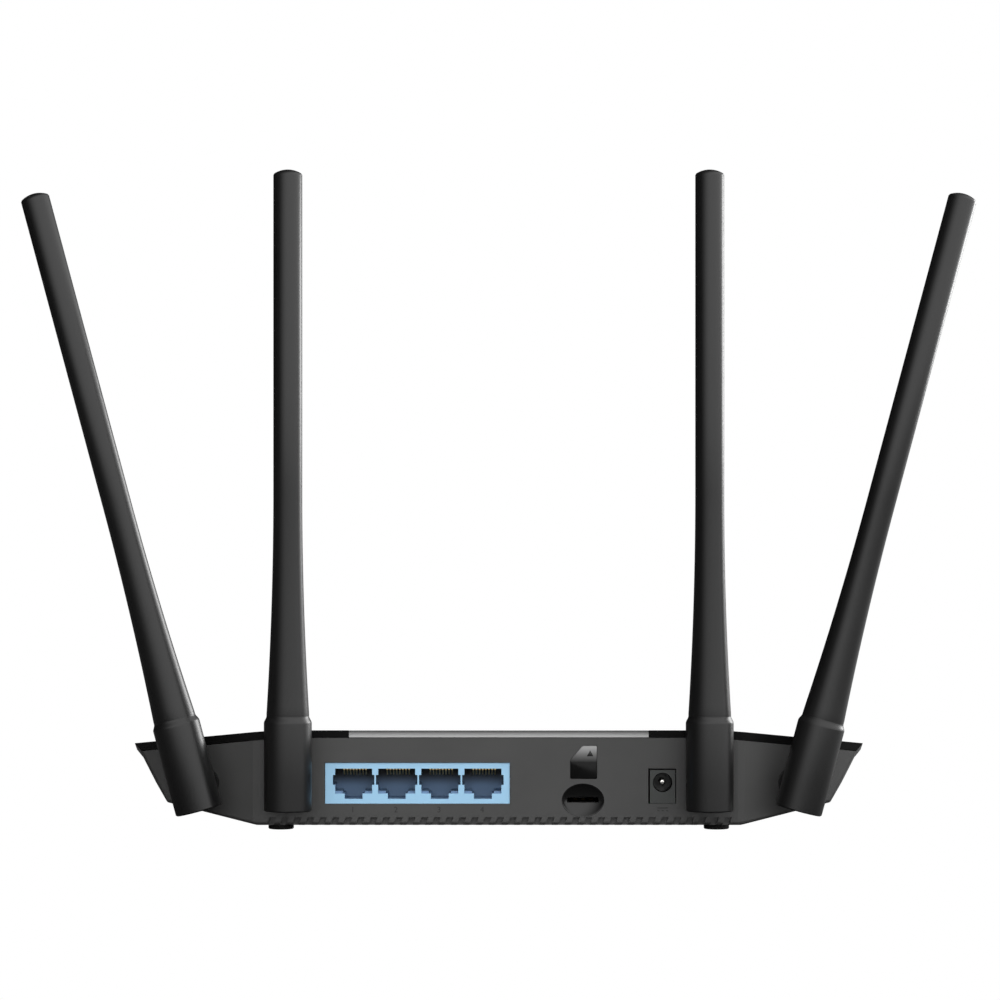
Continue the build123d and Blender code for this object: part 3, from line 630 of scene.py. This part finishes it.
def panel_painted_reflection(name, top_z):
    """Piano black that turns to a painted reflection, dark at the top and bright lower down, where the
    plate rolls over its rear edge.
    """
    finish, tree, shader, place = blank_finish(name)
    turn = tree.nodes.new("ShaderNodeNewGeometry")
    facing = tree.nodes.new("ShaderNodeSeparateXYZ")
    tree.links.new(turn.outputs["Normal"], facing.inputs["Vector"])
    parts = tree.nodes.new("ShaderNodeSeparateXYZ")
    tree.links.new(place, parts.inputs["Vector"])
    drop = tree.nodes.new("ShaderNodeMapRange")
    drop.inputs["From Min"].default_value = top_z
    drop.inputs["From Max"].default_value = top_z - PANEL_ROLL
    tree.links.new(parts.outputs["Z"], drop.inputs["Value"])
    # Painted reflection down the rolled edge: nearly black at the top, bright grey lower down, a little
    # dimmer at the foot.
    stops = ((0.0, tinted(PANEL_EDGE_REFLECTION, 0.05)), (0.32, tinted(PANEL_EDGE_REFLECTION, 0.15)), (0.7, PANEL_EDGE_REFLECTION))
    stops += ((0.9, PANEL_EDGE_REFLECTION), (1.0, tinted(PANEL_EDGE_REFLECTION, 0.6)))
    rolled = shades(tree, drop.outputs["Result"], *stops)
    edge = tree.nodes.new("ShaderNodeMapRange")
    edge.interpolation_type = "SMOOTHSTEP"
    edge.inputs["From Min"].default_value = 0.2
    edge.inputs["From Max"].default_value = 0.6
    tree.links.new(facing.outputs["Y"], edge.inputs["Value"])
    mixed = tree.nodes.new("ShaderNodeMix")
    mixed.data_type = "RGBA"
    tree.links.new(edge.outputs["Result"], mixed.inputs["Factor"])
    mixed.inputs["A"].default_value = (*PANEL_BLACK, 1)
    tree.links.new(rolled, mixed.inputs["B"])
    tree.links.new(mixed.outputs["Result"], shader.inputs["Base Color"])
    tree.links.new(between(tree, noise(tree, place, 0.01), 0.12, 0.2), shader.inputs["Roughness"])
    relief(tree, shader, noise(tree, place, POLISH_WAVE, 1.0), 0.000004)
    return finish


panel_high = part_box("centre_panel")[1]
finish_nodes(panel_painted_reflection("centre panel", panel_high.z), "centre_panel")

# ---------------------------------------------------------------------------
# Antenna hubs, pins and leads
# Each antenna hangs on a black hub that snaps into the case wall and swivels there. A steel
# pin through the hub's tongue is the hinge, and a thin coaxial lead runs to the board.
# ---------------------------------------------------------------------------
HUB_BLACK = (0.014, 0.014, 0.014)
LEAD_BLACK = (0.012, 0.012, 0.013)
COPPER = (0.72, 0.37, 0.22)
ANTENNAS = ("outer_left", "inner_left", "inner_right", "outer_right")

hub_black = moulded_plastic("hub black", HUB_BLACK, 0.5)
lead_jacket = moulded_plastic("lead jacket", LEAD_BLACK, 0.38, grain=0.0008)
copper = metal("radiator copper", COPPER, 0.3)
for antenna in ANTENNAS:
    finish_nodes(hub_black, antenna + "_hub")
    finish_nodes(steel, antenna + "_pin")
    finish_nodes(lead_jacket, antenna + "_lead")
    finish_nodes(copper, antenna + "_radiator")

# ---------------------------------------------------------------------------
# Antenna sleeves and blades
# The sleeve is the lower tube, slotted for the hub's tongue. The blade is a hollow tube
# pressed into it, turned here as one smooth skin that swells at its foot and ends in a dome.
# ---------------------------------------------------------------------------
ANTENNA_BLACK = (0.0085, 0.0085, 0.0086)
BLADE_RADIUS = 0.00465
SWELL_RADIUS = 0.00685
SPIGOT_RADIUS = 0.0054
BORE_RADIUS = 0.0035
SPIGOT_FOOT = 0.0084
SHOULDER = 0.02181
SWELL_END = 0.0226
TAPER_END = 0.094
DOME = 0.00145
TIP_EDGE = 0.00035
TAPER_STEPS = 28
SLEEVE_RADIUS = 0.0077
SLEEVE_FOOT = 0.0088
SLEEVE_FOOT_RADIUS = 0.00725
SLEEVE_SHOULDER = 0.0195
SLEEVE_TOP = 0.0218
SOCKET_FOOT = 0.0082
SOCKET_GAP = 0.0001
SLEEVE_SLOT = 0.00325
HUB_CLEAR = 0.0089
SLOT_TOP = 0.0042


def blade_outline(reach):
    """Outline of the blade from its spigot up to the tip, as radius and height over the pin."""
    rim = reach - DOME
    dome_radius = (BLADE_RADIUS**2 + DOME**2) / (2 * DOME)
    half_turn = math.degrees(math.asin((BLADE_RADIUS - TIP_EDGE) / dome_radius))
    points = [(BORE_RADIUS, SPIGOT_FOOT), (SPIGOT_RADIUS, SPIGOT_FOOT), (SPIGOT_RADIUS, SHOULDER)]
    points.append((SWELL_RADIUS, SHOULDER))
    for i in range(TAPER_STEPS + 1):
        along = i / TAPER_STEPS
        radius = BLADE_RADIUS + (SWELL_RADIUS - BLADE_RADIUS) * (1 - along) ** 2
        points.append((radius, SWELL_END + (TAPER_END - SWELL_END) * along))
    points.append((BLADE_RADIUS, rim - TIP_EDGE))
    dome_centre = (0, reach - dome_radius)
    points += arc(dome_centre, dome_radius, 90 - half_turn, 90, 10)
    points += [(0, rim - 0.0015), (BORE_RADIUS, rim - 0.0015), (BORE_RADIUS, SPIGOT_FOOT)]
    return points


def sleeve_outline():
    """Outline of the sleeve from the middle of its foot round to the bottom of its socket."""
    foot_edge = SLEEVE_FOOT_RADIUS + 0.0004
    points = [(0, -SLEEVE_FOOT), (SLEEVE_FOOT_RADIUS, -SLEEVE_FOOT), (foot_edge, -SLEEVE_FOOT + 0.0004)]
    points += [(SLEEVE_RADIUS, 0)]
    rise = SLEEVE_TOP - SLEEVE_SHOULDER
    for i in range(9):
        turn = i / 8
        ease = turn * turn * (3 - 2 * turn)
        radius = SLEEVE_RADIUS + (SWELL_RADIUS - SLEEVE_RADIUS) * ease
        points.append((radius, SLEEVE_SHOULDER + rise * turn))
    socket_radius = SPIGOT_RADIUS + SOCKET_GAP
    points += [(socket_radius, SLEEVE_TOP), (socket_radius, SOCKET_FOOT), (0, SOCKET_FOOT)]
    return points


def prism(name, profile, half_width):
    """A straight-sided cutter along X from an outline of (y, z) points."""
    shape = bmesh.new()
    ends = [[shape.verts.new((x, y, z)) for y, z in profile] for x in (-half_width, half_width)]
    shape.faces.new(ends[0])
    shape.faces.new(list(reversed(ends[1])))
    for i in range(len(profile)):
        j = (i + 1) % len(profile)
        shape.faces.new((ends[0][i], ends[1][i], ends[1][j], ends[0][j]))
    bmesh.ops.recalc_face_normals(shape, faces=shape.faces)
    mesh = bpy.data.meshes.new(name)
    shape.to_mesh(mesh)
    shape.free()
    return mesh


def cut_away(mesh, *cutters):
    """The mesh with every cutter taken out of it."""
    solid = bpy.data.objects.new("uncut", mesh)
    helpers = [solid]
    for cutter in cutters:
        tool = bpy.data.objects.new("cutter", cutter)
        helpers.append(tool)
        cut = solid.modifiers.new("cut", "BOOLEAN")
        cut.operation = "DIFFERENCE"
        cut.solver = "EXACT"
        cut.object = tool
    for helper in helpers:
        bpy.context.scene.collection.objects.link(helper)
    evaluated = solid.evaluated_get(bpy.context.evaluated_depsgraph_get())
    result = bpy.data.meshes.new_from_object(evaluated)
    for helper in helpers:
        bpy.data.objects.remove(helper)
    result.shade_smooth()
    result.set_sharp_from_angle(angle=math.radians(35))
    return result


def sleeve_mesh(name):
    """The sleeve, slotted for the tongue and rounded below so that it clears the wall as it folds."""
    outside = 0.012
    slot_profile = [(-outside, SLOT_TOP), (SLOT_TOP, SLOT_TOP), (SLOT_TOP, -outside), (-outside, -outside)]
    tongue_slot = prism("tongue_slot", slot_profile, SLEEVE_SLOT)
    heel_profile = arc((0, 0), HUB_CLEAR, 180, 270, 16)
    heel_profile += [(0, -outside), (-outside, -outside), (-outside, 0)]
    heel = prism("heel", heel_profile, outside)
    return cut_away(turned(name, sleeve_outline(), segments=128), tongue_slot, heel)


antenna_satin = moulded_plastic(
    "antenna satin black", ANTENNA_BLACK, 0.33, grain=0.0003, depth=0.000005, specular=0.42
)
hinges = {joint["child"]: joint for joint in frame["joints"] if joint["type"] == "hinge"}
for antenna in ANTENNAS:
    body = antenna + "_antenna"
    pin_place = Vector(hinges[body]["pos_m"])
    blade_points = [v.co for v in nodes[antenna + "_blade"].data.vertices]
    tip_point = max(blade_points, key=lambda point: (point - pin_place).length)
    along = (tip_point - pin_place).normalized()
    across = -Vector(hinges[body]["axis"]).normalized()
    facing = along.cross(across)
    stand = Matrix((across, facing, along)).transposed().to_4x4()
    reach = (tip_point - pin_place).length
    mesh = sleeve_mesh(antenna + "_sleeve")
    mesh.transform(Matrix.Translation(pin_place) @ stand)
    new_piece(antenna + "_sleeve", mesh, body, "antenna_plastic", antenna_satin, antenna + "_base")
    mesh = turned(antenna + "_blade_skin", blade_outline(reach), segments=128)
    mesh.transform(Matrix.Translation(pin_place) @ stand)
    new_piece(antenna + "_blade_skin", mesh, body, "antenna_plastic", antenna_satin, antenna + "_blade")

# ---------------------------------------------------------------------------
# Studio
# A pale floor, a wrap-round white room that is darker on one side, and one softbox low
# behind the right-hand end that draws the thin bright rim down each antenna.
# ---------------------------------------------------------------------------
CAMERA_DISTANCE = 1.3
CAMERA_HEIGHT = 0.1074
BRIGHT_SIDE = (-0.755, 0.655, 0.0)
BRIGHT_END = 1.95
DARK_END = 0.015
FLOOR_RADIUS = 12.0
FLOOR_DIM = 0.0
FLOOR_LIT = 0.4
WORLD_TURN = 0.55

camera_data = bpy.data.cameras.new("camera")
camera_data.sensor_width = 36.0
camera_data.lens = 144.44
camera = bpy.data.objects.new("camera", camera_data)
camera.location = (-0.0004, 0.0639 + CAMERA_DISTANCE, CAMERA_HEIGHT)
camera.rotation_euler = (math.radians(90), 0, math.radians(180))
bpy.context.scene.collection.objects.link(camera)
bpy.context.scene.camera = camera
bpy.context.scene.view_settings.view_transform = "Standard"

world = bpy.data.worlds.new("studio")
bpy.context.scene.world = world
world.use_nodes = True
tree = world.node_tree
place = tree.nodes.new("ShaderNodeTexCoord")
side_on = tree.nodes.new("ShaderNodeVectorMath")
side_on.operation = "DOT_PRODUCT"
side_on.inputs[1].default_value = BRIGHT_SIDE
fall = tree.nodes.new("ShaderNodeMapRange")
fall.interpolation_type = "SMOOTHSTEP"
fall.inputs["From Min"].default_value = -WORLD_TURN
fall.inputs["From Max"].default_value = WORLD_TURN
fall.inputs["To Min"].default_value = DARK_END
fall.inputs["To Max"].default_value = BRIGHT_END
seen = tree.nodes.new("ShaderNodeLightPath")
pick = tree.nodes.new("ShaderNodeMix")
pick.inputs["B"].default_value = 1.0
tree.links.new(place.outputs["Generated"], side_on.inputs[0])
tree.links.new(side_on.outputs["Value"], fall.inputs["Value"])
tree.links.new(fall.outputs["Result"], pick.inputs["A"])
tree.links.new(seen.outputs["Is Camera Ray"], pick.inputs["Factor"])
tree.links.new(pick.outputs["Result"], tree.nodes["Background"].inputs["Color"])

floor_mesh = bpy.data.meshes.new("floor")
shape = bmesh.new()
bmesh.ops.create_circle(shape, cap_ends=True, radius=FLOOR_RADIUS, segments=96)
shape.to_mesh(floor_mesh)
shape.free()
floor = bpy.data.objects.new("floor", floor_mesh)
bpy.context.scene.collection.objects.link(floor)
pale = bpy.data.materials.new("pale floor")
pale.use_nodes = True
tree = pale.node_tree
matt = tree.nodes["Principled BSDF"]
matt.inputs["Base Color"].default_value = (0.05, 0.05, 0.05, 1)
matt.inputs["Roughness"].default_value = 0.9
matt.inputs["Emission Color"].default_value = (1, 1, 1, 1)
place = tree.nodes.new("ShaderNodeTexCoord")
parts = tree.nodes.new("ShaderNodeSeparateXYZ")
spread = tree.nodes.new("ShaderNodeMapRange")
spread.interpolation_type = "SMOOTHSTEP"
spread.inputs["From Min"].default_value = -0.08
spread.inputs["From Max"].default_value = -0.3
spread.inputs["To Min"].default_value = FLOOR_DIM
spread.inputs["To Max"].default_value = FLOOR_LIT
white = tree.nodes.new("ShaderNodeEmission")
floor_seen = tree.nodes.new("ShaderNodeLightPath")
either = tree.nodes.new("ShaderNodeMixShader")
tree.links.new(place.outputs["Object"], parts.inputs["Vector"])
tree.links.new(parts.outputs["X"], spread.inputs["Value"])
tree.links.new(spread.outputs["Result"], matt.inputs["Emission Strength"])
tree.links.new(floor_seen.outputs["Is Camera Ray"], either.inputs["Fac"])
tree.links.new(matt.outputs["BSDF"], either.inputs[1])
tree.links.new(white.outputs["Emission"], either.inputs[2])
tree.links.new(either.outputs["Shader"], tree.nodes["Material Output"].inputs["Surface"])
floor_mesh.materials.append(pale)
floor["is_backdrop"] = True

rim_data = bpy.data.lights.new("rim softbox", "AREA")
rim_data.energy = 6.0
rim_data.size = 0.5
rim = bpy.data.objects.new("rim softbox", rim_data)
rim.location = (-0.9, -0.7, 0.35)
rim.rotation_euler = (math.radians(75), 0, math.radians(-52))
bpy.context.scene.collection.objects.link(rim)

low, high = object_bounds()
